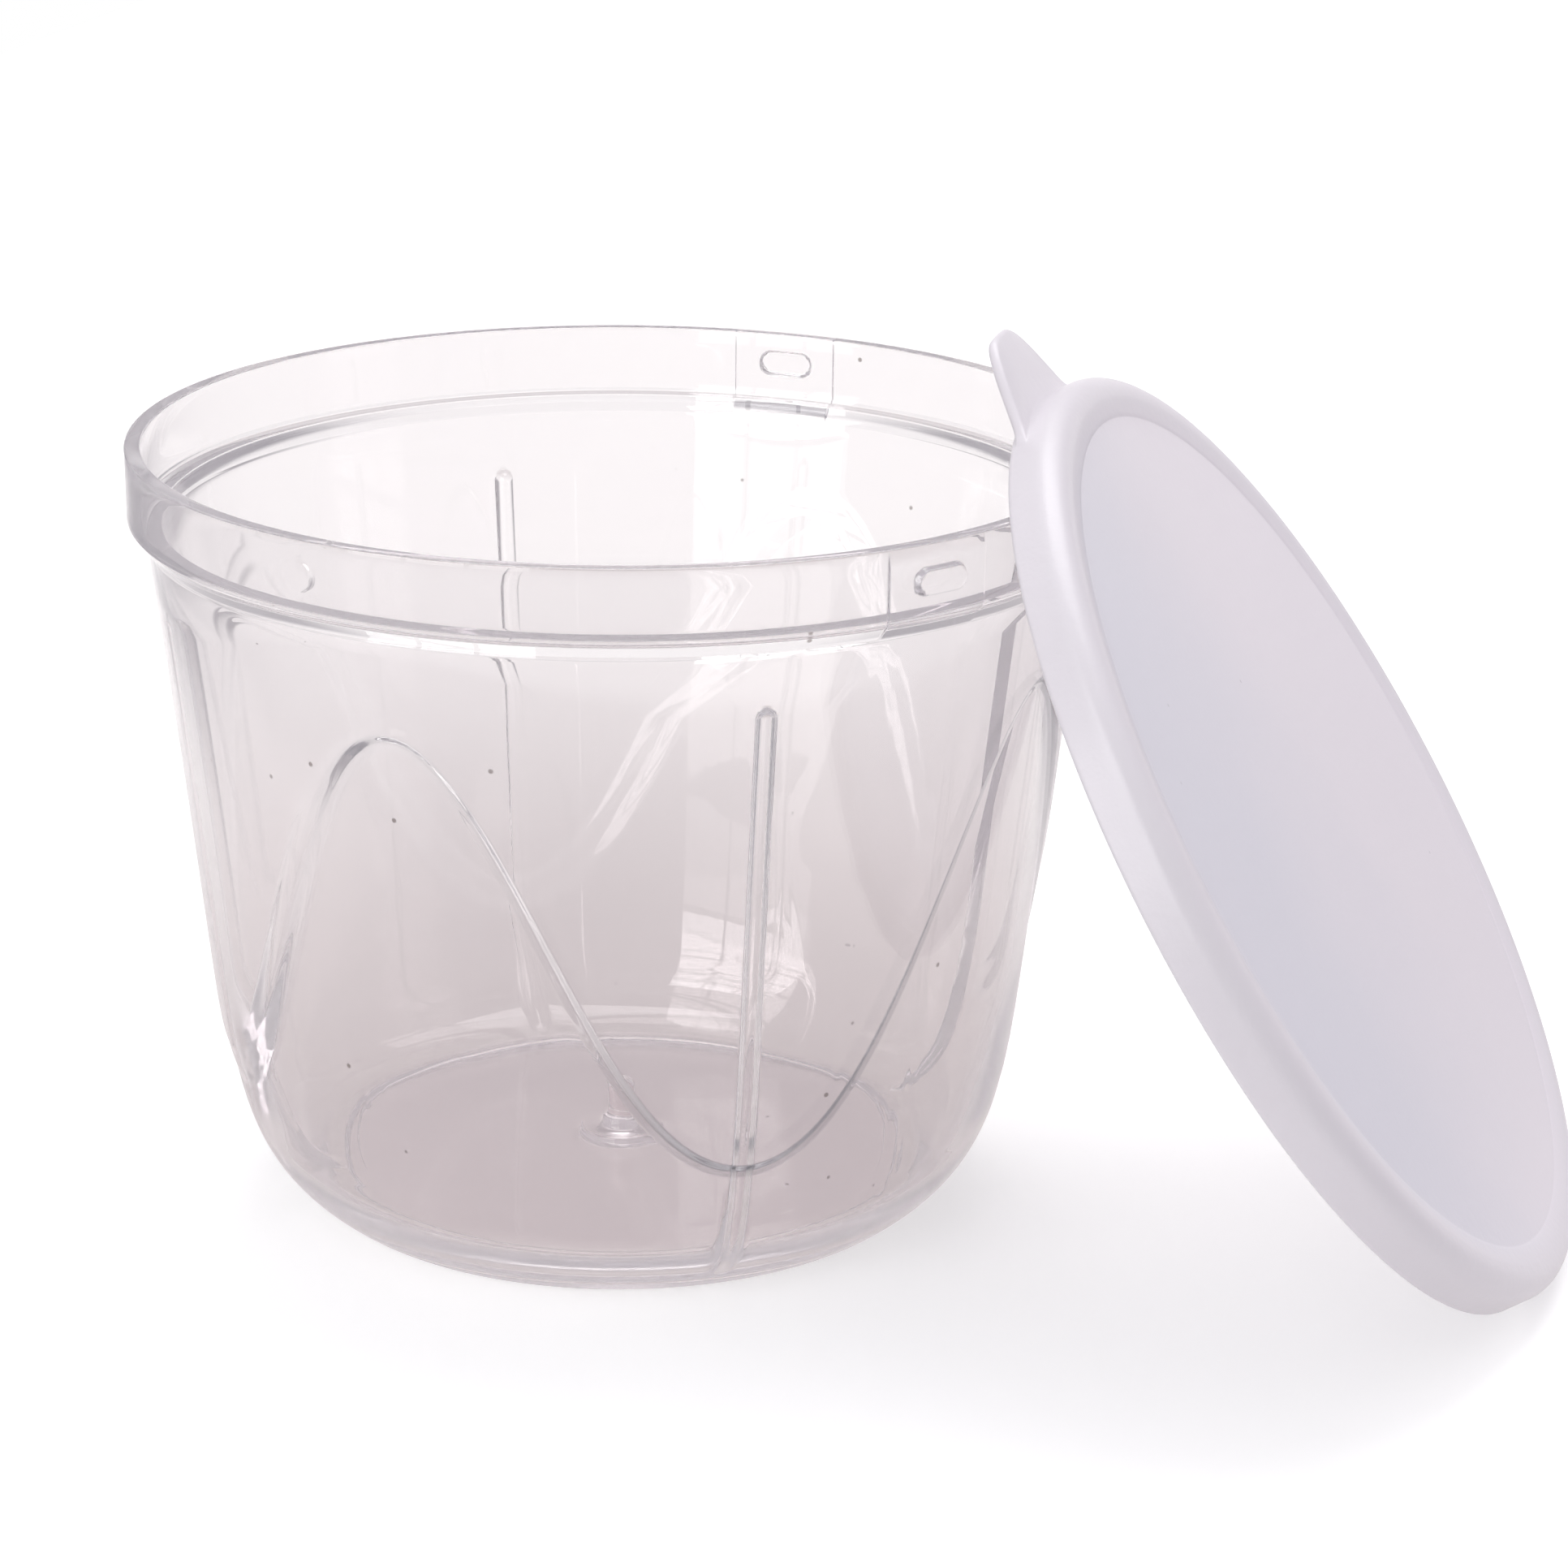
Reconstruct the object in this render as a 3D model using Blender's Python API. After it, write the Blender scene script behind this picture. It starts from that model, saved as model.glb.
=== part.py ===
"""Bowl and storage lid of a manual food chopper, each a single moulding, with the lid leaning on the bowl.

Sizes are in millimetres and angles in degrees. MM turns a size into the metres of the scene. A mesh here is a
stack of rings round its own z axis, closed by a point on the axis at each end, so each piece is one solid.
"""
import bpy
import numpy as np

MM = 0.001

# Bowl: the height, the collar that the lids fit on, and the wall under it
HEIGHT = 104.1
COLLAR_RADIUS = 65.0
COLLAR_WALL = 2.15
COLLAR_HEIGHT = 9.3
COLLAR_STEP = 2.05
CHAMFER_HEIGHT = 2.8
RIM_ROUND = 0.5
WALL = 2.6
WALL_DRAFT = 0.1316
WALL_CURVE = 0.00028
TUCK = 10.1
TUCK_LENGTH = 7.0

# Bowl: the floor and the ring that it stands on
FLOOR_HEIGHT = 3.6
FLOOR_RADIUS = 37.4
FLOOR_BEND_TOP = 13.0
RING_WIDTH = 1.9
RING_HEIGHT = 1.2
RING_ROUND = 0.4

# Bowl: the wave, a step in the outside of the wall, with a rib inside behind each trough
WAVES = 4
WAVE_MIDDLE = 47.6
WAVE_SWING = 28.9
WAVE_SHARPNESS = 2.7
WAVE_BAND = 2.8
WAVE_STEP = 0.9

# Bowl: the ribs inside the wall
RIB_ANGLE = -56.6
RIB_TOP = 84.6
RIB_TOP_SLOPE = 1.4
RIB_FOOT = 4.0
RIB_FOOT_SLOPE = 4.0
RIB_WIDTH = 2.9
RIB_CREST = 1.9
RIB_DEPTH = 1.7

# Bowl: the oval lock lugs on the outside of the collar
LUG_ANGLES = (-37.4, 84.7, -112.6)
LUG_LENGTH = 7.6
LUG_HEIGHT = 3.6
LUG_DEPTH = 0.9
LUG_FLAT = 0.6

# Bowl: the pin that the blade turns on
DISC_RADIUS = 5.8
DISC_HEIGHT = 1.0
BOSS_RADIUS = 2.7
BOSS_HEIGHT = 2.9
PIN_FOOT_RADIUS = 2.0
PIN_TOP_RADIUS = 1.65
PIN_HEIGHT = 9.5

# Storage lid: how it fits on the collar, its rim and its panel, measured from its open edge
SKIRT_FIT = 0.1
SKIRT_WALL = 1.1
PLUG_FIT = 0.25
PLUG_WALL = 1.5
PLUG_FOOT = 2.7
BEAD = 0.3
BEAD_HEIGHT = 1.4
LID_HEIGHT = 7.2
LID_ROUND = 3.0
RIM_BAND = 6.6
PANEL_DROP = 0.6
PANEL_THICKNESS = 1.3

# Storage lid: the pull tab
TAB_ANGLE = 180.0
TAB_REACH = 10.3
TAB_TIP_HALF = 2.5
TAB_ROOT_HALF = 16.0
TAB_THICKNESS = 1.5
TAB_BOTTOM = 0.9

# How the lid leans: how far over the level its outside faces, and the air left between it and the rim
LID_FACES_UP = 32.7
AIR = 0.3

# Columns of the meshes
COLUMN_STEP = 6.0
TAB_COLUMNS = 16

COLLAR_FOOT = HEIGHT - COLLAR_HEIGHT
COLLAR_INSIDE = COLLAR_RADIUS - COLLAR_WALL
LUG_MIDDLE = COLLAR_FOOT + 0.5 * COLLAR_HEIGHT
SKIRT_INSIDE = COLLAR_RADIUS + SKIRT_FIT
LID_RADIUS = SKIRT_INSIDE + SKIRT_WALL
PLUG_RADIUS = COLLAR_INSIDE - PLUG_FIT
PANEL_RADIUS = LID_RADIUS - RIM_BAND
PANEL_TOP = LID_HEIGHT - PANEL_DROP
PANEL_UNDER = PANEL_TOP - PANEL_THICKNESS


def rise(low, high, x):
    """Go smoothly from 0 at low to 1 at high: 3 t^2 - 2 t^3, where t is the way between them."""
    t = np.clip((x - low) / (high - low), 0.0, 1.0)
    return t * t * (3.0 - 2.0 * t)


def turn_between(angle, centre):
    """Signed turn from centre to angle, from -180 to 180 degrees."""
    return (angle - centre + 180.0) % 360.0 - 180.0


def wall_radius(z):
    """Outside of the wall over the wave: a gently curved draft under the collar, less an exponential tuck."""
    drop = COLLAR_FOOT - z
    top = COLLAR_RADIUS - COLLAR_STEP
    return top - WALL_DRAFT * drop + WALL_CURVE * drop * drop - TUCK * np.exp(-z / TUCK_LENGTH)


def wave_height(angle):
    """Height of the wave: a cosine that is lowest at the ribs, and a second harmonic that narrows its crests."""
    phase = np.radians(WAVES * (angle - RIB_ANGLE))
    return WAVE_MIDDLE - WAVE_SWING * np.cos(phase) + WAVE_SHARPNESS * np.cos(2.0 * phase)


def rib_sides():
    """Turns from a rib's middle to its foot and crest lines, on both sides, at the wave's middle height."""
    reach = wall_radius(WAVE_MIDDLE) - WALL
    half = 0.5 * np.array([-RIB_WIDTH, -RIB_CREST, RIB_CREST, RIB_WIDTH])
    return np.degrees(half / reach)


def rib_depth(z, angle):
    """How far the ribs stand in from the wall: full between the crest lines, sloping off at both ends."""
    pitch = 360.0 / WAVES
    off = np.abs((angle - RIB_ANGLE + 0.5 * pitch) % pitch - 0.5 * pitch)
    foot_line, crest_line = rib_sides()[3], rib_sides()[2]
    ends = rise(RIB_TOP, RIB_TOP - RIB_TOP_SLOPE, z) * rise(RIB_FOOT, RIB_FOOT + RIB_FOOT_SLOPE, z)
    return RIB_DEPTH * rise(foot_line, crest_line, off) * ends


def lug_depth(z, angle):
    """How far the lugs stand out of the collar: ovals, flat in the middle, that slope off to their edges."""
    depth = np.zeros_like(angle)
    for centre in LUG_ANGLES:
        along = np.radians(turn_between(angle, centre)) * COLLAR_RADIUS / (0.5 * LUG_LENGTH)
        up = (z - LUG_MIDDLE) / (0.5 * LUG_HEIGHT)
        depth += LUG_DEPTH * rise(1.0, LUG_FLAT, np.hypot(along, up))
    return depth


def columns(details):
    """Angles of a mesh's columns: an even fan, where the details' angles take the place of those near them."""
    special = np.concatenate(details) % 360.0
    even = np.arange(0.0, 360.0, COLUMN_STEP)
    nearest = np.array([np.abs(turn_between(special, a)).min() for a in even])
    keep = (nearest > 0.25 * COLUMN_STEP) | ((even % 90.0 == 0.0) & (nearest > 0.0))
    return np.unique(np.concatenate([even[keep], special]))


def underside():
    """Rings under the bowl, from its recessed middle to the outer edge of the ring that it stands on."""
    outer = wall_radius(0.0) - WAVE_STEP - RING_ROUND
    inner = outer - RING_WIDTH
    return [(0.5 * inner, RING_HEIGHT), (inner - RING_ROUND, RING_HEIGHT), (inner, 0.0), (outer, 0.0)]


def outside(angle):
    """Rings up the outside of the wall: below the wave, through its step, and above it to the chamfer."""
    rings = []
    tuck_top = 2.0 * TUCK_LENGTH
    for share in (0.04, 0.14, 0.28, 0.46, 0.72, 1.0):
        z = share * tuck_top
        rings.append((wall_radius(z) - WAVE_STEP, z))
    wave = wave_height(angle)
    wave_foot = wave - 0.5 * WAVE_BAND
    wave_top = wave + 0.5 * WAVE_BAND
    for share in (0.34, 0.67, 1.0):
        z = tuck_top + share * (wave_foot - tuck_top)
        rings.append((wall_radius(z) - WAVE_STEP, z))
    rings.append((wall_radius(wave) - 0.5 * WAVE_STEP, wave))
    for share in (0.0, 0.33, 0.67, 1.0):
        z = wave_top + share * (COLLAR_FOOT - CHAMFER_HEIGHT - wave_top)
        rings.append((wall_radius(z), z))
    return rings


def collar(angle):
    """Rings up the collar with its lugs, over the rim and down the inside to the ledge."""
    rings = [(COLLAR_RADIUS, COLLAR_FOOT)]
    for share in (-1.0, -LUG_FLAT, -0.4 * LUG_FLAT, 0.4 * LUG_FLAT, LUG_FLAT, 1.0):
        z = LUG_MIDDLE + share * 0.5 * LUG_HEIGHT
        rings.append((COLLAR_RADIUS + lug_depth(z, angle), z))
    rings += [
        (COLLAR_RADIUS, HEIGHT - RIM_ROUND),
        (COLLAR_RADIUS - RIM_ROUND, HEIGHT),
        (COLLAR_INSIDE + RIM_ROUND, HEIGHT),
        (COLLAR_INSIDE, HEIGHT - RIM_ROUND),
        (COLLAR_INSIDE, COLLAR_FOOT + RIM_ROUND),
        (COLLAR_INSIDE - RIM_ROUND, COLLAR_FOOT),
        (wall_radius(COLLAR_FOOT) - WALL + RIM_ROUND, COLLAR_FOOT),
    ]
    return rings


def inside(angle):
    """Rings down the inside of the wall with its ribs, and round the bend to the edge of the floor."""
    rings = []
    crest_top = RIB_TOP - RIB_TOP_SLOPE
    levels = [COLLAR_FOOT - RIM_ROUND, RIB_TOP + RIM_ROUND, RIB_TOP, 0.5 * (RIB_TOP + crest_top)]
    levels += list(np.linspace(crest_top, FLOOR_BEND_TOP, 5))
    for z in levels:
        rings.append((wall_radius(z) - WALL - rib_depth(z, angle), z))
    start = np.array([wall_radius(FLOOR_BEND_TOP) - WALL, FLOOR_BEND_TOP])
    end = np.array([FLOOR_RADIUS, FLOOR_HEIGHT])
    corner = np.array([0.45 * end[0] + 0.55 * start[0], FLOOR_HEIGHT])
    for t in (0.2, 0.4, 0.6, 0.8, 1.0):
        r, z = (1.0 - t) ** 2 * start + 2.0 * t * (1.0 - t) * corner + t * t * end
        rings.append((r - rib_depth(z, angle), z))
    return rings


def pin():
    """Rings from the floor over the pin's foot disc and boss to its rounded tip."""
    disc = FLOOR_HEIGHT + DISC_HEIGHT
    boss = FLOOR_HEIGHT + BOSS_HEIGHT
    tip = FLOOR_HEIGHT + PIN_HEIGHT
    dome = PIN_TOP_RADIUS
    rings = [
        (3.0 * DISC_RADIUS, FLOOR_HEIGHT),
        (DISC_RADIUS, FLOOR_HEIGHT),
        (DISC_RADIUS, disc - 0.4 * DISC_HEIGHT),
        (DISC_RADIUS - 0.4 * DISC_HEIGHT, disc),
        (BOSS_RADIUS, disc),
        (BOSS_RADIUS, boss - 0.2 * BOSS_HEIGHT),
        (0.5 * (BOSS_RADIUS + PIN_FOOT_RADIUS), boss),
        (PIN_FOOT_RADIUS, boss),
    ]
    for lean_in in (0.0, 30.0, 60.0):
        turn = np.radians(lean_in)
        rings.append((dome * np.cos(turn), tip - dome * (1.0 - np.sin(turn))))
    return rings


def lid_rings(angle):
    """Rings of the lid: under its panel, round the plug and the skirt, over the tab and back across the top."""
    across = np.radians(np.abs(turn_between(angle, TAB_ANGLE))) * LID_RADIUS
    tab = LID_RADIUS + TAB_REACH * rise(TAB_ROOT_HALF, TAB_TIP_HALF, across)
    tab_top = TAB_BOTTOM + TAB_THICKNESS
    plug_inside = PLUG_RADIUS - PLUG_WALL
    easing = 0.4 * BEAD
    round_middle = LID_RADIUS - LID_ROUND
    under_panel_and_plug = [
        (0.5 * PANEL_RADIUS, PANEL_UNDER),
        (plug_inside - BEAD, PANEL_UNDER),
        (plug_inside, PANEL_UNDER - BEAD),
        (plug_inside, PLUG_FOOT + BEAD),
        (plug_inside + BEAD, PLUG_FOOT),
        (PLUG_RADIUS - BEAD, PLUG_FOOT),
        (PLUG_RADIUS, PLUG_FOOT + BEAD),
        (PLUG_RADIUS, PANEL_UNDER),
    ]
    skirt = [
        (SKIRT_INSIDE - BEAD, PANEL_UNDER),
        (SKIRT_INSIDE, PANEL_UNDER - BEAD),
        (SKIRT_INSIDE, BEAD_HEIGHT + BEAD),
        (SKIRT_INSIDE - BEAD, BEAD_HEIGHT),
        (SKIRT_INSIDE - BEAD, 0.4 * BEAD_HEIGHT),
        (SKIRT_INSIDE, 0.0),
        (LID_RADIUS - BEAD, 0.0),
        (LID_RADIUS, BEAD),
    ]
    pull_tab = [
        (LID_RADIUS, TAB_BOTTOM - easing),
        (tab, TAB_BOTTOM),
        (tab, tab_top),
        (LID_RADIUS, tab_top + easing),
    ]
    rings = under_panel_and_plug + skirt + pull_tab
    for lean_in in (0.0, 30.0, 60.0, 90.0):
        turn = np.radians(lean_in)
        rings.append((round_middle + LID_ROUND * np.cos(turn), LID_HEIGHT - LID_ROUND * (1.0 - np.sin(turn))))
    rings += [
        (0.5 * (round_middle + PANEL_RADIUS), LID_HEIGHT - 0.15 * PANEL_DROP),
        (PANEL_RADIUS + PANEL_DROP, LID_HEIGHT - 0.5 * PANEL_DROP),
        (PANEL_RADIUS, PANEL_TOP),
        (0.5 * PANEL_RADIUS, PANEL_TOP),
    ]
    return rings


def closed_mesh(name, angle, rings, first, last):
    """Mesh of the rings round the z axis, with a point on the axis at height first and one at height last."""
    turn = np.radians(angle)
    count = angle.size
    verts = [[[0.0, 0.0, first]]]
    for r, z in rings:
        around = [r * np.cos(turn), r * np.sin(turn), np.broadcast_to(z, angle.shape)]
        verts.append(np.stack(around, axis=1))
    verts = np.vstack([*verts, [[0.0, 0.0, last]]])

    here = np.arange(count)
    after = (here + 1) % count
    faces = [(0, 1 + b, 1 + a) for a, b in zip(here, after)]
    for k in range(len(rings) - 1):
        low = 1 + k * count
        high = low + count
        faces += [(low + a, low + b, high + b, high + a) for a, b in zip(here, after)]
    faces += [(high + a, high + b, len(verts) - 1) for a, b in zip(here, after)]

    mesh = bpy.data.meshes.new(name)
    mesh.from_pydata((verts * MM).tolist(), [], faces)
    mesh.shade_smooth()
    mesh.set_sharp_from_angle(angle=np.radians(35.0))
    return mesh, verts


def bowl_mesh():
    pitch = 360.0 / WAVES
    details = [RIB_ANGLE + pitch * k + rib_sides() for k in range(WAVES)]
    lug_half = np.degrees(0.5 * LUG_LENGTH / COLLAR_RADIUS)
    lug_columns = lug_half * np.array([-1.0, -LUG_FLAT, -0.4 * LUG_FLAT, 0.4 * LUG_FLAT, LUG_FLAT, 1.0])
    details += [centre + lug_columns for centre in LUG_ANGLES]
    angle = columns(details)
    rings = underside() + outside(angle) + collar(angle) + inside(angle) + pin()
    return closed_mesh("bowl", angle, rings, RING_HEIGHT, FLOOR_HEIGHT + PIN_HEIGHT)


def lid_mesh():
    half = np.degrees(TAB_ROOT_HALF / LID_RADIUS)
    angle = columns([TAB_ANGLE + np.linspace(-half, half, TAB_COLUMNS + 1)])
    return closed_mesh("storage_lid", angle, lid_rings(angle), PANEL_UNDER, PANEL_TOP)


def plastic(name, colour, roughness, alpha):
    material = bpy.data.materials.new(name)
    material.use_nodes = True
    shader = material.node_tree.nodes["Principled BSDF"]
    shader.inputs["Base Color"].default_value = (*colour, 1.0)
    shader.inputs["Roughness"].default_value = roughness
    shader.inputs["Metallic"].default_value = 0.0
    shader.inputs["Alpha"].default_value = alpha
    return material


def place(name, mesh, material, parent):
    piece = bpy.data.objects.new(name, mesh)
    mesh.materials.append(material)
    bpy.context.scene.collection.objects.link(piece)
    piece.parent = parent
    return piece


def leaning_place(lid_points, bowl_points, turn):
    """Where the lid's origin goes when it stands on its edge and leans on the rim, turned about y by turn.

    Its lowest point is on the table, and AIR is left between the underside of its panel and the rim.
    """
    facing = np.array([np.sin(turn), 0.0, np.cos(turn)])
    down_slope = np.array([np.cos(turn), 0.0, -np.sin(turn)])
    lift = -(lid_points @ np.array([down_slope[2], 0.0, facing[2]])).min()
    rim_reach = (bowl_points @ facing).max()
    out = (rim_reach + AIR - PANEL_UNDER - lift * facing[2]) / facing[0]
    return np.array([out, 0.0, lift])


for old in list(bpy.data.objects):
    bpy.data.objects.remove(old, do_unlink=True)

clear_plastic = plastic("clear_plastic", (0.92, 0.90, 0.91), 0.05, 0.3)
soft_white_plastic = plastic("soft_white_plastic", (0.70, 0.69, 0.74), 0.45, 1.0)
base_mesh, bowl_points = bowl_mesh()
cover_mesh, lid_points = lid_mesh()

# The middle of the set's footprint is the origin, so the empty that carries both pieces stands off it.
lid_turn = np.radians(90.0 - LID_FACES_UP)
lid_place = leaning_place(lid_points, bowl_points, lid_turn)
lid_right = lid_place[0] + (lid_points @ np.array([np.cos(lid_turn), 0.0, np.sin(lid_turn)])).max()
bowl_left = bowl_points[:, 0].min()

bowl_axis = bpy.data.objects.new("bowl_axis", None)
bpy.context.scene.collection.objects.link(bowl_axis)
bowl_axis.location = (-0.5 * (lid_right + bowl_left) * MM, 0.0, 0.0)

place("bowl", base_mesh, clear_plastic, bowl_axis)
storage_lid = place("storage_lid", cover_mesh, soft_white_plastic, bowl_axis)
storage_lid.location = lid_place * MM
storage_lid.rotation_euler = (0.0, lid_turn, 0.0)
print("bowl axis at x", round(bowl_axis.location.x / MM, 3), "lid at", lid_place.round(3), "in millimetres")
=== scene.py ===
# %% [markdown]
# # Chopper bowl with its storage lid
# The real object is the bowl of a hand-driven food chopper and the soft lid that closes it for storage.
# The bowl is one moulding of hard clear plastic: a collar that the lids fit on, a wavy step round its
# wall, four inner ribs, and a pin on its floor that the blade turns on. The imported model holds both
# pieces at their real size and place, so this file only dresses them: each gets a finer surface from the
# same measures, and a material.

import bpy
import numpy as np
from mathutils import Matrix, Vector


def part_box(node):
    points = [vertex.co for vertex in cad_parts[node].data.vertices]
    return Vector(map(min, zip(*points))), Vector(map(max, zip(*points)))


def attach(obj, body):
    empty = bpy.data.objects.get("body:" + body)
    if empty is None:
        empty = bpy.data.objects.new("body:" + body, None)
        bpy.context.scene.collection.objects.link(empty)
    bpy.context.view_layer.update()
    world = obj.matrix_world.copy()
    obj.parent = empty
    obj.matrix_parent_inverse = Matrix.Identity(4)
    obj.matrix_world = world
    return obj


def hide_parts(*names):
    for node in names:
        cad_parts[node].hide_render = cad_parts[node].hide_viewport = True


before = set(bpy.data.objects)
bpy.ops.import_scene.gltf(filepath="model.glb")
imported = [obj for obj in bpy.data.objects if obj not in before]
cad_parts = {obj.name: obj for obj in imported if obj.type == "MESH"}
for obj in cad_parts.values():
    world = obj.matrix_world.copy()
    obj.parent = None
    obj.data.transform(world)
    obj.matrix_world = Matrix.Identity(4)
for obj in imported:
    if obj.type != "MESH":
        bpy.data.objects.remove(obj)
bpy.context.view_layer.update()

# %% [markdown]
# ## Measures
# The pieces and the camera are measured in millimetres and degrees, because that is how a moulding's
# drawing gives them, and MM turns these into Blender's metres at the end. What stands round them, the
# floor, the lamp and the panes, is in metres. The bowl's axis stands a little to the left of the middle
# of the pair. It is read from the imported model, so that the fine surface lies exactly where the plain
# one does.

# %% Measures that both pieces share
MM = 0.001
COLLAR_RADIUS = 65.0
COLLAR_WALL = 2.15
bowl_low, bowl_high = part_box("bowl")
HEIGHT = bowl_high.z / MM
AXIS_X = bowl_low.x / MM + COLLAR_RADIUS
ON_AXIS = np.array([AXIS_X, 0.0, 0.0])
print(f"the bowl is {HEIGHT:.1f} mm high and its axis is at x = {AXIS_X:.2f} mm")


def rise(low, high, x):
    """Go smoothly from 0 at low to 1 at high: 3 t squared less 2 t cubed, t being the way between."""
    t = np.clip((x - low) / (high - low), 0.0, 1.0)
    return t * t * (3.0 - 2.0 * t)


def turn_between(angle, centre):
    """Signed turn from centre to angle, from -180 to 180 degrees."""
    return (angle - centre + 180.0) % 360.0 - 180.0


# %% [markdown]
# ## Camera
# The camera stands where the photographer's did: in front of the bowl, a little to its right, looking
# down at it. Its place was worked out from the rim, the ledge, the floor's edge and the lid's outline,
# which are all circles of known size. The lens is a tele, because the far side of each circle looks
# hardly smaller than the near one.

# %% Camera at the photograph's place
CAMERA_AT = np.array([125.4, -537.4, 245.45])
HEADING = np.radians(104.16)
PITCH = np.radians(-18.69)
ROLL = np.radians(0.695)
SENSOR_WIDTH = 36.0
FOCAL_LENGTH = 100.28
FARTHEST_SEEN = 50000.0

forward = np.array([np.cos(PITCH) * np.cos(HEADING), np.cos(PITCH) * np.sin(HEADING), np.sin(PITCH)])
level_right = np.array([np.sin(HEADING), -np.cos(HEADING), 0.0])
level_up = np.cross(level_right, forward)
right = np.cos(ROLL) * level_right + np.sin(ROLL) * level_up
up = np.cross(right, forward)

camera_data = bpy.data.cameras.new("camera")
camera_data.sensor_width = SENSOR_WIDTH
camera_data.sensor_fit = "HORIZONTAL"
camera_data.lens = FOCAL_LENGTH
camera_data.clip_end = FARTHEST_SEEN * MM
camera = bpy.data.objects.new("camera", camera_data)
bpy.context.scene.collection.objects.link(camera)
pose = np.eye(4)
pose[:3, 0] = right
pose[:3, 1] = up
pose[:3, 2] = -forward
pose[:3, 3] = CAMERA_AT * MM
camera.matrix_world = Matrix(pose)
bpy.context.scene.camera = camera
print("camera looks along", forward.round(3))

# %% [markdown]
# ## Shader maths
# A material's nodes are easier to read as sums than as boxes and wires. The class below wraps one output
# socket, so that `0.3 + mask * 0.5` adds the Math nodes that work it out. Its `add` method makes any
# other node from its type, its settings and the values or links of its inputs, and the methods after it
# name the few that come often.

# %% A small class for sums of sockets
class Wire:
    """One output socket of a node tree, with Python's operators standing for Math nodes."""

    def __init__(self, tree, socket):
        self.tree = tree
        self.socket = socket

    def add(self, kind, inputs=None, output=0, **settings):
        """Add a node of the given type, apply its settings, fill its inputs, and wrap one of its outputs."""
        node = self.tree.nodes.new(kind)
        for name, value in settings.items():
            setattr(node, name, value)
        for key, value in (inputs or {}).items():
            if isinstance(value, Wire):
                self.tree.links.new(value.socket, node.inputs[key])
            else:
                node.inputs[key].default_value = value
        return Wire(self.tree, node.outputs[output])

    def math(self, operation, *values):
        return self.add("ShaderNodeMath", dict(enumerate(values)), operation=operation)

    def __add__(self, other):
        return self.math("ADD", self, other)

    def __mul__(self, other):
        return self.math("MULTIPLY", self, other)

    def __truediv__(self, other):
        return self.math("DIVIDE", self, other)

    __radd__ = __add__
    __rmul__ = __mul__

    def between(self, low, high):
        """Go smoothly from 0 at low to 1 at high, as the function rise does for arrays."""
        ends = {"Value": self, "From Min": low, "From Max": high}
        return self.add("ShaderNodeMapRange", ends, interpolation_type="SMOOTHSTEP")

    def noise(self, scale, detail):
        """Value from 0 to 1 of a noise texture on the point that this wire holds."""
        return self.add("ShaderNodeTexNoise", {"Vector": self, "Scale": scale, "Detail": detail})

    def coordinate(self, index):
        """One coordinate of the point that this wire holds: 0 for x, 1 for y and 2 for z."""
        return self.add("ShaderNodeSeparateXYZ", {"Vector": self}, output=index)

    def distance(self, place):
        """Distance from the point that this wire holds to a fixed place."""
        return self.add("ShaderNodeVectorMath", {0: self, 1: place}, output=1, operation="DISTANCE")

    def along(self, direction):
        """How far the vector that this wire holds reaches along a direction: their dot product."""
        return self.add("ShaderNodeVectorMath", {0: self, 1: direction}, output=1, operation="DOT_PRODUCT")

    def blend(self, first, second):
        """Colour between first and second, by this wire's value."""
        return self.add("ShaderNodeMix", {0: self, 6: first, 7: second}, output=2, data_type="RGBA")


def grey(level):
    """Colour of one level in red, green and blue."""
    return (level, level, level, 1.0)


def new_material(name):
    """Empty node material with its Principled shader, and the object's own point as a first wire."""
    material = bpy.data.materials.new(name)
    material.use_nodes = True
    tree = material.node_tree
    shader = tree.nodes["Principled BSDF"]
    place = Wire(tree, None).add("ShaderNodeTexCoord", output="Object")
    return material, shader, place


def ray_kinds(tree):
    """Two wires that are 1 for rays from the camera, and for rays that metal or clear plastic sends on."""
    camera_ray = Wire(tree, None).add("ShaderNodeLightPath", output="Is Camera Ray")
    path = camera_ray.socket.node
    glossy = Wire(tree, path.outputs["Is Glossy Ray"])
    through = Wire(tree, path.outputs["Is Transmission Ray"])
    return camera_ray, glossy.math("MAXIMUM", glossy, through)


def feed(shader, **inputs):
    """Link wires to a shader's sockets, and set plain values on the others. Underscores stand for spaces."""
    for key, value in inputs.items():
        socket = shader.inputs[key.replace("_", " ")]
        if isinstance(value, Wire):
            value.tree.links.new(value.socket, socket)
        else:
            socket.default_value = value


# %% [markdown]
# ## A skin of rings
# Both pieces are turned shapes with details that break the turn: a wave, ribs, lugs, a tab. So a piece is
# a grid: its columns are angles round the axis, and its rows are rings that follow the wall from the
# middle of the underside to the middle of the top. Radius and height are functions of the angle, worked
# out for a whole ring at once. Columns lie close together at the details and wide apart elsewhere.

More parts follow.
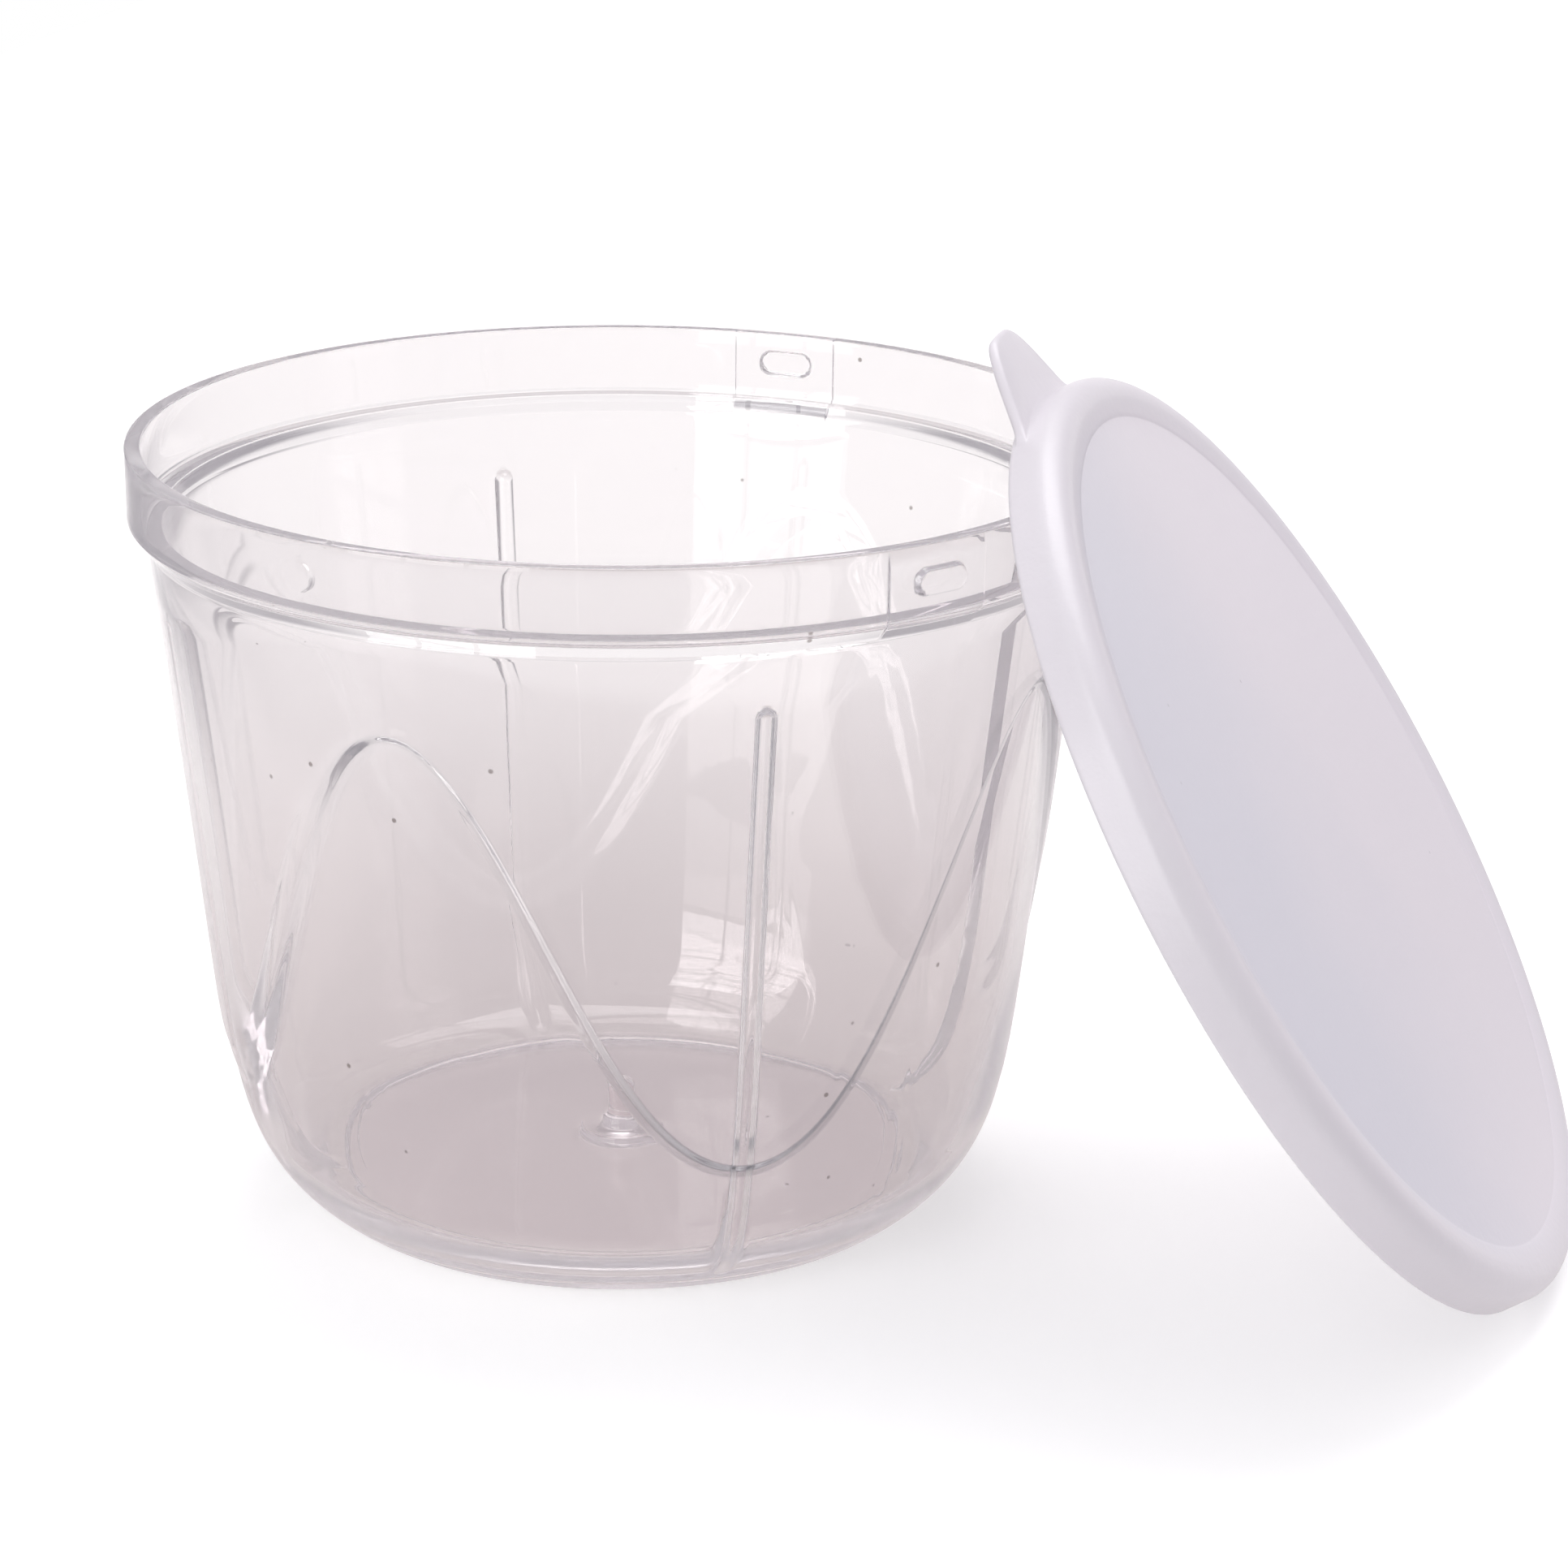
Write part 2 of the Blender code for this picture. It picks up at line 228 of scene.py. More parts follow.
# %% Grid to mesh
def skin(name, rings, first, last):
    """Closed mesh of the rings, an array of rows by columns by xyz in mm, with a point at each end."""
    rows, count, _ = rings.shape
    points = np.vstack([first, rings.reshape(-1, 3), last]) * MM
    here = np.arange(count)
    after = (here + 1) % count
    start = 1 + count * np.arange(rows - 1)[:, None]
    quads = np.stack([start + here, start + after, start + count + after, start + count + here], axis=-1)
    top = 1 + count * (rows - 1)
    cap_first = np.stack([np.zeros_like(here), 1 + after, 1 + here], axis=-1)
    cap_last = np.stack([top + here, top + after, np.full_like(here, len(points) - 1)], axis=-1)
    corners = np.concatenate([quads.ravel(), cap_first.ravel(), cap_last.ravel()])
    sizes = np.concatenate([np.full(quads.size // 4, 4), np.full(2 * count, 3)])

    mesh = bpy.data.meshes.new(name)
    mesh.vertices.add(len(points))
    mesh.vertices.foreach_set("co", points.ravel())
    mesh.loops.add(len(corners))
    mesh.loops.foreach_set("vertex_index", corners)
    mesh.polygons.add(len(sizes))
    mesh.polygons.foreach_set("loop_start", np.concatenate([[0], np.cumsum(sizes)[:-1]]))
    mesh.update(calc_edges=True)
    mesh.validate()
    mesh.shade_smooth()
    piece = bpy.data.objects.new(name, mesh)
    bpy.context.scene.collection.objects.link(piece)
    print(f"{name}: {len(points)} points, {2 * quads.size // 4 + 2 * count} triangles")
    return piece


# %% Columns and rows of the grid
def fan(step, details):
    """Column angles: an even fan, in which the details' own angles take the place of those near them."""
    special = np.unique(np.concatenate(details) % 360.0)
    even = np.arange(0.0, 360.0, step)
    nearest = np.abs(turn_between(even[:, None], special[None, :])).min(axis=1)
    return np.sort(np.concatenate([even[nearest > 0.4 * step], special]))


def stack(profile, angle):
    """Rings from a profile, a list of radius and height, each a number or one value for each angle."""
    radius = np.array([np.broadcast_to(r, angle.shape) for r, _ in profile])
    height = np.array([np.broadcast_to(z, angle.shape) for _, z in profile])
    turn = np.radians(angle)
    return np.stack([radius * np.cos(turn), radius * np.sin(turn), height], axis=-1)


def arc(centre, radius, start, end, steps):
    """Points of a circle's arc: centre plus radius times the cosine and sine of the turning angle."""
    turn = np.radians(np.linspace(start, end, steps))
    return [(centre[0] + radius * np.cos(t), centre[1] + radius * np.sin(t)) for t in turn]


def bend(start, corner, end, steps):
    """Points of a curve without its first one: (1-t)^2 start + 2t(1-t) corner + t^2 end."""
    points = []
    for t in np.linspace(0.0, 1.0, steps + 1)[1:]:
        shares = ((1.0 - t) ** 2, 2.0 * t * (1.0 - t), t * t)
        points.append(tuple(sum(s * p for s, p in zip(shares, ends)) for ends in zip(start, corner, end)))
    return points


# %% [markdown]
# ## The bowl's wall
# The wall leans out a little from the foot to the collar, as a moulding must to leave its mould, and
# tucks in quickly near the foot. One smooth formula holds both. The wave is a step in its outside: a
# cosine with four crests, slightly narrowed by a second harmonic, and lowest in front of each rib.

# %% Wall and wave as formulas
COLLAR_HEIGHT = 9.3
COLLAR_FOOT = HEIGHT - COLLAR_HEIGHT
COLLAR_STEP = 2.05
WALL = 2.6
WALL_DRAFT = 0.1316
WALL_CURVE = 0.00028
WALL_GAIN = 0.7
WALL_GAIN_FADE = (34.0, 10.0)
TUCK = 10.1
TUCK_LENGTH = 7.0
WAVES = 4
WAVE_MIDDLE = 47.6
WAVE_SWING = 28.9
WAVE_SHARPNESS = 2.7
WAVE_RADIUS = 56.0
RIB_ANGLE = -56.6


def wall_radius(z):
    """Outside of the wall over the wave: a straight lean and a slight curve, less an exponential tuck."""
    drop = COLLAR_FOOT - z
    top = COLLAR_RADIUS - COLLAR_STEP
    return top - WALL_DRAFT * drop + WALL_CURVE * drop ** 2 - TUCK * np.exp(-z / TUCK_LENGTH)


def inner_wall(z):
    """Inside of the wall: parallel to the outside above, and a little thicker toward the foot."""
    return wall_radius(z) - WALL - WALL_GAIN * rise(*WALL_GAIN_FADE, z)


def wave_height(angle):
    """Height of the wave: its middle, less a cosine that is lowest at the ribs, plus a second harmonic."""
    phase = np.radians(WAVES * (angle - RIB_ANGLE))
    return WAVE_MIDDLE - WAVE_SWING * np.cos(phase) + WAVE_SHARPNESS * np.cos(2.0 * phase)


def wave_slope(angle):
    """Rise of the wave for each millimetre round the wall, from the derivative of its height."""
    phase = np.radians(WAVES * (angle - RIB_ANGLE))
    rising = WAVE_SWING * np.sin(phase) - 2.0 * WAVE_SHARPNESS * np.sin(2.0 * phase)
    return WAVES * rising / WAVE_RADIUS


print("wave from", round(wave_height(RIB_ANGLE), 1), "to", round(wave_height(RIB_ANGLE + 45.0), 1), "mm")

# %% [markdown]
# The wave's edge is crisp over the front and soft round the rest, as the photograph shows it. In section a
# crisp edge is a shallow hollow under a steep flank. That flank bends away the light that would come
# straight through, so it shows as a grey line. A flank of the real height draws a line that is thinner than
# the real one, so a value between 0 and 1 is kept for each point along it, and the material darkens the
# plastic there with painted shade.

# %% Section of the wave's edge
FRONT = -73.6
WAVE_STEP = 0.85
WAVE_HALF = 1.65
SOFT_WIDENING = 0.9
SOFT_FROM_LEFT = (-28.0, -46.0)
SOFT_FROM_RIGHT = (58.0, 88.0)
HOLLOW = 0.1
FLANK_TOP = 0.70
FLANK_FOOT = 0.34
STRAIGHT_TOP = 0.68
STRAIGHT_SPAN = 0.32
SOFT_POWER = 1.8
SOFT_TOP = (1.0, 0.8)
SOFT_FOOT = (0.5, 0.0)
SOFT_ROUNDED = 0.62


def softness(angle):
    """How soft the wave's edge is: 0 over the front, from crest to crest, and 1 round the rest."""
    turn = turn_between(angle, FRONT)
    return np.maximum(rise(*SOFT_FROM_LEFT, turn), rise(*SOFT_FROM_RIGHT, turn))


def step_shape(share, angle):
    """Depth of the step from 1 at its foot to 0 at its top: a hollow and a steep flank, or a soft one."""
    straight = np.clip((STRAIGHT_TOP - share) / STRAIGHT_SPAN, 0.0, 1.0)
    flank = 0.5 * rise(FLANK_TOP, FLANK_FOOT, share) + 0.5 * straight
    crisp = (1.0 - HOLLOW * rise(0.0, FLANK_FOOT, share)) * flank
    rounded = (1.0 - share ** SOFT_POWER) * rise(*SOFT_TOP, share)
    soft = SOFT_ROUNDED * rounded + (1.0 - SOFT_ROUNDED) * rise(*SOFT_FOOT, share)
    return crisp + softness(angle) * (soft - crisp)


print("edge is soft over", round(100.0 * softness(np.arange(-180.0, 180.0)).mean()), "% of the turn")

# %% Painted shade along the wave's edge
SHADE_BELOW = (0.02, 0.12)
SHADE_FLANK = (0.24, 0.36)
SHADE_TOP = (0.76, 0.66)
SHADE_TURN = (-14.0, 14.0)
SHADE_LEFT = 0.3


def painted_edge_shade(share, angle):
    """How much painted shade darkens the crisp edge: fully on its flank, half below it, more to the right.
    """
    below = 0.5 * rise(*SHADE_BELOW, share)
    flank = np.maximum(rise(*SHADE_FLANK, share), below) * rise(*SHADE_TOP, share)
    to_right = SHADE_LEFT + (1.0 - SHADE_LEFT) * rise(*SHADE_TURN, turn_between(angle, FRONT))
    return flank * to_right * (1.0 - softness(angle))


print("shade in the middle of the flank", painted_edge_shade(0.5, np.array([FRONT - 14.0, FRONT + 14.0])).round(2))

# %% [markdown]
# ## Ribs and lugs
# Four ribs inside the wall push the food back to the blade. Each has a round crest, an arched top, and a
# foot that runs out on the floor. Outside, the collar has three lugs that a lid turns under: two flat
# ovals in the middle of a plain window that stands slightly proud, and on the left a ramp that rises
# slowly and ends sharply.

# %% Ribs and lugs as formulas
RIB_TOP = 84.6
RIB_DEPTH = 1.7
RIB_HALF = 1.4
RIB_TOP_ROUND = 1.5
RIB_FOOT_SLOPE = 2.0
FLOOR_HEIGHT = 3.6
LUG_MIDDLE = COLLAR_FOOT + 0.5 * COLLAR_HEIGHT
LUG_ANGLES = (-37.4, 84.7)
LUG_DEPTH = 0.85
LUG_STRAIGHT = 2.2
LUG_EDGE = (1.85, 1.48)
RAMP_ANGLE = -112.6
RAMP_DEPTH = 0.2
RAMP_RISE = (-2.0, 4.6)
RAMP_END = (5.0, 4.4)
RAMP_END_ROUND = 1.9
RAMP_HALF_HEIGHT = 3.9
WINDOW_HALF = 7.6
WINDOW_EDGE = 0.06


def rib_depth(z, angle):
    """How far the ribs stand in from the wall: a half ellipse across, an arched top and a fading foot."""
    pitch = 360.0 / WAVES
    off = np.radians((angle - RIB_ANGLE + 0.5 * pitch) % pitch - 0.5 * pitch) * wall_radius(z)
    from_line = np.hypot(off, np.maximum(z - (RIB_TOP - RIB_TOP_ROUND), 0.0))
    crown = np.sqrt(np.maximum(1.0 - (from_line / RIB_HALF) ** 2, 0.0))
    return RIB_DEPTH * crown * rise(FLOOR_HEIGHT, FLOOR_HEIGHT + RIB_FOOT_SLOPE, z)


def round_collar(angle, centre):
    """Distance in millimetres from a centre line to the angle, round the collar's outside."""
    return np.radians(turn_between(angle, centre)) * COLLAR_RADIUS


def lug_depth(z, angle):
    """How far the lugs stand out: two flat ovals with steep sides, and a slow ramp with a sharp end."""
    up_by = z - LUG_MIDDLE
    depth = 0.0 * angle
    for centre in LUG_ANGLES:
        past_straight = np.maximum(np.abs(round_collar(angle, centre)) - LUG_STRAIGHT, 0.0)
        depth = depth + LUG_DEPTH * rise(*LUG_EDGE, np.hypot(past_straight, up_by))
    along = round_collar(angle, RAMP_ANGLE)
    from_middle = np.hypot(np.maximum(along, 0.0), RAMP_END_ROUND * up_by)
    ramp = RAMP_DEPTH * rise(*RAMP_RISE, along) * rise(*RAMP_END, from_middle)
    return depth + ramp * rise(RAMP_HALF_HEIGHT, 0.0, np.abs(up_by))


def window_mask(angle, centres):
    """1 inside the plain windows round the given lugs and 0 outside, with a sharp edge."""
    inside = 0.0 * angle
    for centre in centres:
        along = np.abs(round_collar(angle, centre))
        inside = inside + rise(WINDOW_HALF + WINDOW_EDGE, WINDOW_HALF - WINDOW_EDGE, along)
    return inside


# %% [markdown]
# The bowl's columns are 1.5 degrees apart, and much closer where the surface turns fastest: at the sides of
# the ribs, round the lugs, at the windows' edges and at the sharp end of the ramp.

# %% Columns of the bowl
COLUMN_STEP = 1.5
RIB_COLUMNS = np.array([0.0, 0.3, 0.55, 0.75, 0.9, 1.05, 1.16, 1.25, 1.32, 1.37, RIB_HALF, 1.46, 1.7])
LUG_COLUMNS = np.append([0.0, 0.8, 1.6], np.linspace(2.1, 4.2, 19))
WINDOW_COLUMNS = WINDOW_HALF + np.array([-0.3, -WINDOW_EDGE, 0.0, WINDOW_EDGE, 0.3])
RAMP_COLUMNS = np.linspace(0.0, 1.8, 8)
RAMP_END_TURN = 3.4


def near(centre, offsets, radius):
    """Angles at the given distances, in millimetres, on both sides of a centre line on a circle."""
    both = np.concatenate([-offsets, offsets])
    return centre + np.degrees(both / radius)


details = [near(RIB_ANGLE + 360.0 / WAVES * k, RIB_COLUMNS, WAVE_RADIUS) for k in range(WAVES)]
details += [near(centre, LUG_COLUMNS, COLLAR_RADIUS) for centre in LUG_ANGLES]
details += [near(centre, WINDOW_COLUMNS, COLLAR_RADIUS) for centre in LUG_ANGLES]
details += [near(RAMP_ANGLE + RAMP_END_TURN, RAMP_COLUMNS, COLLAR_RADIUS)]
bowl_angle = fan(COLUMN_STEP, details)
print(len(bowl_angle), "columns")

# %% [markdown]
# ## The bowl's profile
# The profile now follows the wall: out along the recessed underside, over the ring that the bowl stands
# on, up the outside through the wave and the chamfer under the collar, over the rim, down the inside past
# the ledge and the ribs, round the bend to the floor, and up the pin.

# %% Underside and standing ring
RING_HEIGHT = 1.2
RING_INNER = 39.69
RING_OUTER = 41.3
LOWER_START = 0.56

ring_side = RING_INNER - 0.3
underside = [(r, RING_HEIGHT) for r in (6.0, 20.0, 32.0, RING_INNER - 1.2)]
underside += bend((RING_INNER - 0.9, RING_HEIGHT), (RING_INNER - 0.35, RING_HEIGHT), (ring_side, 0.6), 4)
underside += bend((ring_side, 0.6), (RING_INNER - 0.2, 0.0), (RING_INNER + 0.2, 0.0), 4)
underside += [(0.5 * (RING_INNER + RING_OUTER), 0.0), (RING_OUTER, 0.0)]
lower_start = (wall_radius(LOWER_START) - WAVE_STEP, LOWER_START)
underside += bend((RING_OUTER, 0.0), (RING_OUTER + 0.72, 0.0), lower_start, 5)
print(len(underside), "rings under the bowl")

# %% Outside of the wall, through the wave
TUCK_SPAN = 13.4
TUCK_TOP = 14.0
CHAMFER_HEIGHT = 3.0
CHAMFER_ROUND = 0.4
WAVE_SHARES = np.concatenate([[0.0, 0.04, 0.1, 0.18], np.linspace(0.26, 0.78, 21), [0.85, 0.92, 1.0]])

wave = wave_height(bowl_angle)
across_slope = np.sqrt(1.0 + wave_slope(bowl_angle) ** 2)
half = WAVE_HALF * (1.0 + SOFT_WIDENING * softness(bowl_angle)) * across_slope
chamfer_foot = COLLAR_FOOT - CHAMFER_HEIGHT

outside = []
for z in LOWER_START + TUCK_SPAN * np.linspace(0.0, 1.0, 17)[1:] ** 1.4:
    outside.append((wall_radius(z) - WAVE_STEP, z))
for share in np.linspace(0.0, 1.0, 9)[1:-1]:
    z = TUCK_TOP + share * (wave - half - TUCK_TOP)
    outside.append((wall_radius(z) - WAVE_STEP, z))
wave_start = len(underside) + len(outside)
for share in WAVE_SHARES:
    z = wave + (2.0 * share - 1.0) * half
    outside.append((wall_radius(z) - WAVE_STEP * step_shape(share, bowl_angle), z))
for share in np.linspace(0.0, 1.0, 10)[1:]:
    z = wave + half + share * (chamfer_foot - CHAMFER_ROUND - wave - half)
    outside.append((wall_radius(z), z))
print(len(outside), "rings up the outside, the wave from ring", wave_start)

# %% Chamfer, collar and rim
WINDOW_PROUD = 0.22
WINDOW_LIFT = 0.3
COLLAR_LIP = 0.06
RIM_ROUND = 0.28
LUG_SIDE_ROWS = np.linspace(1.3, 1.95, 7)
LUG_ROWS = np.concatenate([-LUG_SIDE_ROWS[::-1], [-0.9, -0.45, 0.0, 0.45, 0.9], LUG_SIDE_ROWS])

collar_radius = COLLAR_RADIUS + WINDOW_PROUD * window_mask(bowl_angle, LUG_ANGLES)
collar_foot = COLLAR_FOOT + WINDOW_LIFT * window_mask(bowl_angle, LUG_ANGLES[:1])
neck = wall_radius(chamfer_foot)
chamfer_start = (neck, chamfer_foot - CHAMFER_ROUND)
collar = bend(chamfer_start, (neck + 0.05, chamfer_foot), (neck + 0.25, chamfer_foot + 0.3), 4)
for share in (0.4, 0.7, 0.92):
    collar.append((neck + share * (collar_radius - neck), chamfer_foot + share * CHAMFER_HEIGHT))
for share in (0.0, 0.5, 1.0):
    z = collar_foot - COLLAR_LIP + 0.15 * share
    collar.append((collar_radius - COLLAR_LIP * (1.0 - share) ** 2, z))
below_lugs = [COLLAR_FOOT + 1.2, COLLAR_FOOT + 2.2]
above_lugs = [HEIGHT - 2.2, HEIGHT - 1.2]
for z in np.concatenate([below_lugs, LUG_MIDDLE + LUG_ROWS, above_lugs]):
    collar.append((collar_radius + lug_depth(z, bowl_angle), z))
collar_inside = COLLAR_RADIUS - COLLAR_WALL
rim = HEIGHT - RIM_ROUND
collar += arc((COLLAR_RADIUS - RIM_ROUND, rim), RIM_ROUND, 0.0, 90.0, 6)
collar += [(0.5 * (collar_inside + COLLAR_RADIUS), HEIGHT)]
collar += arc((collar_inside + RIM_ROUND, rim), RIM_ROUND, 90.0, 180.0, 6)
print(len(collar), "rings up the collar and over the rim")

# %% Ledge, inside of the wall and floor
LEDGE_ROUND = 0.2
FLOOR_RADIUS = 37.4
FLOOR_BEND_TOP = 13.0
FLOOR_RISER = 0.3

inside = [(collar_inside, z) for z in (HEIGHT - 3.0, HEIGHT - 6.0, COLLAR_FOOT + 1.2)]
ledge_bend = (collar_inside - 0.25, COLLAR_FOOT)
inside += bend((collar_inside, COLLAR_FOOT + 0.25), (collar_inside, COLLAR_FOOT), ledge_bend, 4)
ledge_edge = wall_radius(COLLAR_FOOT) - WALL
inside += [(0.5 * (collar_inside + ledge_edge), COLLAR_FOOT)]
inside += arc((ledge_edge + LEDGE_ROUND, COLLAR_FOOT - LEDGE_ROUND), LEDGE_ROUND, 90.0, 180.0, 5)

over_ribs = np.linspace(COLLAR_FOOT - 2.0, RIB_TOP + 0.6, 5)
round_rib_tops = np.linspace(RIB_TOP, RIB_TOP - 1.6, 10)
down_ribs = np.linspace(RIB_TOP - 4.0, 15.0, 16)
for z in np.concatenate([over_ribs, round_rib_tops, down_ribs]):
    inside.append((inner_wall(z) - rib_depth(z, bowl_angle), z))

bend_start = (inner_wall(FLOOR_BEND_TOP), FLOOR_BEND_TOP)
riser_top = (FLOOR_RADIUS + FLOOR_RISER, FLOOR_HEIGHT + FLOOR_RISER)
riser_middle = (FLOOR_RADIUS, FLOOR_HEIGHT + 0.12)
bend_corner = (0.22 * FLOOR_RADIUS + 0.78 * bend_start[0], FLOOR_HEIGHT + 0.45)
for r, z in [bend_start] + bend(bend_start, bend_corner, riser_top, 15):
    inside.append((r - rib_depth(z, bowl_angle), z))
inside += bend(riser_top, (FLOOR_RADIUS, FLOOR_HEIGHT + FLOOR_RISER), riser_middle, 4)
inside += bend(riser_middle, (FLOOR_RADIUS, FLOOR_HEIGHT), (FLOOR_RADIUS - 0.3, FLOOR_HEIGHT), 4)
inside += [(r, FLOOR_HEIGHT) for r in (36.0, 30.0, 20.0, 12.0, 7.5)]
print(len(inside), "rings down the inside and over the floor")

# %% [markdown]
# The pin is steel on some choppers. Here it is moulded in one with the floor: a thin disc, a boss that
# the blade's tube stands on, and the slim pin that the tube turns round. Heights are measured from the
# floor.

# %% Pin on the bowl's floor
PIN_HEIGHT = 9.5
DISC_RADIUS = 5.8
DISC_HEIGHT = 1.0
DISC_ROUND = 0.4
BOSS_RADIUS = 2.65
BOSS_HEIGHT = 2.9
BOSS_ROUND = 0.3
PIN_TIP_RADIUS = 1.72
PIN_TIP_HEIGHT = 1.7

pin = bend((DISC_RADIUS + 0.4, 0.0), (DISC_RADIUS, 0.0), (DISC_RADIUS, 0.35), 4)
pin += arc((DISC_RADIUS - DISC_ROUND, DISC_HEIGHT - DISC_ROUND), DISC_ROUND, 0.0, 90.0, 6)
pin += bend((3.4, DISC_HEIGHT), (2.85, DISC_HEIGHT), (2.75, 1.6), 4)
pin += [(BOSS_RADIUS, 2.4)]
pin += arc((BOSS_RADIUS - BOSS_ROUND, BOSS_HEIGHT - BOSS_ROUND), BOSS_ROUND, 0.0, 90.0, 5)
pin += bend((2.3, BOSS_HEIGHT), (2.0, BOSS_HEIGHT), (1.97, 3.3), 4)
pin += [(1.9, 4.5), (1.81, 6.0)]
for t in np.radians(np.linspace(0.0, 78.0, 8)):
    pin.append((PIN_TIP_RADIUS * np.cos(t), PIN_HEIGHT - PIN_TIP_HEIGHT + PIN_TIP_HEIGHT * np.sin(t)))
pin = [(r, FLOOR_HEIGHT + z) for r, z in pin]
print(len(pin), "rings up the pin")

# %% Mesh of the bowl
bowl_rings = stack(underside + outside + collar + inside + pin, bowl_angle) + ON_AXIS
bowl_first = ON_AXIS + [0.0, 0.0, RING_HEIGHT]
bowl_last = ON_AXIS + [0.0, 0.0, FLOOR_HEIGHT + PIN_HEIGHT]
bowl = skin("clear_bowl", bowl_rings, bowl_first, bowl_last)
# Amount of painted shade along the wave's edge, for each point of the mesh.
shade = np.zeros(bowl_rings.shape[:2])
for row, share in enumerate(WAVE_SHARES):
    shade[wave_start + row] = painted_edge_shade(share, bowl_angle)
edge = bowl.data.attributes.new("wave_edge_painted_shade", "FLOAT", "POINT")
edge.data.foreach_set("value", np.concatenate([[0.0], shade.ravel(), [0.0]]))
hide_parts("bowl")
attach(bowl, "bowl")

# %% [markdown]
# ## Clear plastic
# The bowl is a hard clear styrene plastic: it bends light about as much as crown glass, a little more, and
# has a faint mauve tint that grows deeper toward the foot, where the plastic is thick: partly its own tint
# and partly painted shade for the dimmer floor seen through it. A few grains of dust lie on it, the ring
# that it stands on is scuffed, and a dark painted shade lies along the wave's crisp edge. Glass in Cycles
# mirrors light to and fro inside the wall, and the renderer follows only the first few turns: what it drops
# would be black. So past the fourth mirroring the plastic gives a faint painted glow of its own, which
# stands for the light that those paths would still find.

# %% Dust
GRAIN_CELLS = 95.0
GRAIN_EDGE = (0.042, 0.02)
GRAIN_CHANCE_FADE = 0.03


def specks(point, rarity):
    """1 on small grains of dust: the middles of Voronoi cells whose random colour beats the rarity."""
    cell = point.add("ShaderNodeTexVoronoi", {"Vector": point, "Scale": GRAIN_CELLS})
    colour = Wire(cell.tree, cell.socket.node.outputs["Color"])
    chance = colour.add("ShaderNodeSeparateColor", {"Color": colour})
    return cell.between(*GRAIN_EDGE) * chance.between(rarity, rarity + GRAIN_CHANCE_FADE)


# %% Material of the bowl
CAST_LOW_AND_PAINTED_SHADE = (0.90, 0.87, 0.872, 1.0)
CAST_HIGH = (0.985, 0.972, 0.974, 1.0)
CAST_FLOOR = (0.93, 0.885, 0.90, 1.0)
# Colour of the painted shade on the wave's crisp edge.
EDGE_PAINTED_SHADE = (0.24, 0.25, 0.28, 1.0)
DARK_DUST = (0.20, 0.17, 0.16, 1.0)
LATE_GLOW = (0.33, 0.31, 0.33, 1.0)
CAST_HEIGHTS = (-10.0, 115.0)
FLOOR_CAST_EDGE = (41.0, 37.0)
DUST_ON_BOWL = 0.35
FOURTH_MIRRORING = (3.4, 3.6)
POLISHED = 0.012
SCUFF = 0.12
SCUFF_HEIGHTS = (1.5, 1.25)
STYRENE_INDEX = 1.57

clear, shader, point = new_material("clear_plastic")
height = point.coordinate(2) / MM
# Darker toward the foot: partly the plastic's own tint, partly painted shade for the dimmer floor seen
# through it.
cast_and_painted_shade = height.between(*CAST_HEIGHTS).blend(CAST_LOW_AND_PAINTED_SHADE, CAST_HIGH)
from_floor = point.distance((AXIS_X * MM, 0.0, 2.0 * MM)) / MM
cast_and_painted_shade = from_floor.between(*FLOOR_CAST_EDGE).blend(cast_and_painted_shade, CAST_FLOOR)
# Painted shade: a dark tone along the wave's crisp edge, from the mesh's values for each point.
wave_edge_painted_shade = point.add("ShaderNodeAttribute", output="Fac", attribute_name="wave_edge_painted_shade")
cast_and_painted_shade = wave_edge_painted_shade.blend(cast_and_painted_shade, EDGE_PAINTED_SHADE)
cast_and_painted_shade = specks(point, DUST_ON_BOWL).blend(cast_and_painted_shade, DARK_DUST)
mirrorings = point.add("ShaderNodeLightPath", output="Glossy Depth")
late = mirrorings.between(*FOURTH_MIRRORING).blend(grey(0.0), LATE_GLOW)
uneven = point.noise(22.0, 1.0)
ripple = point.add("ShaderNodeBump", {"Strength": 0.025, "Distance": 0.001, "Height": uneven})
scuffed = POLISHED + SCUFF * height.between(*SCUFF_HEIGHTS)
feed(shader, Base_Color=cast_and_painted_shade, Normal=ripple, Roughness=scuffed)
feed(shader, IOR=STYRENE_INDEX, Transmission_Weight=0.95)
feed(shader, Emission_Color=late, Emission_Strength=1.0)
bowl.data.materials.append(clear)
print(len(clear.node_tree.nodes), "nodes in the clear plastic")

# %% [markdown]
# ## The storage lid
# The lid is soft and slightly milky. A skirt grips the outside of the collar and a low ring fits inside
# it. The panel is sunk a little inside a soft rolled rim, and a tab at the edge lifts it off. Its profile
# is drawn in the lid's own frame, with its open edge at height 0.

# %% Columns of the lid and its pull tab
LID_COLUMN_STEP = 1.2
SKIRT_INSIDE = COLLAR_RADIUS + 0.1
LID_RADIUS = SKIRT_INSIDE + 1.1
TAB_ANGLE = 180.0
TAB_COLUMNS = np.linspace(-16.0, 16.0, 65)
TAB_REACH = 10.3
TAB_ROOT_HALF = 16.0
TAB_TIP_HALF = 2.5
TAB_MIDDLE = 1.65
TAB_HALF_THICKNESS = 0.75

lid_angle = fan(LID_COLUMN_STEP, [TAB_ANGLE + TAB_COLUMNS])
across = np.radians(np.abs(turn_between(lid_angle, TAB_ANGLE))) * LID_RADIUS
tab = LID_RADIUS + TAB_REACH * rise(TAB_ROOT_HALF, TAB_TIP_HALF, across)
reach = tab - LID_RADIUS
print(len(lid_angle), "columns, the tab reaches out", round(reach.max(), 1), "mm")

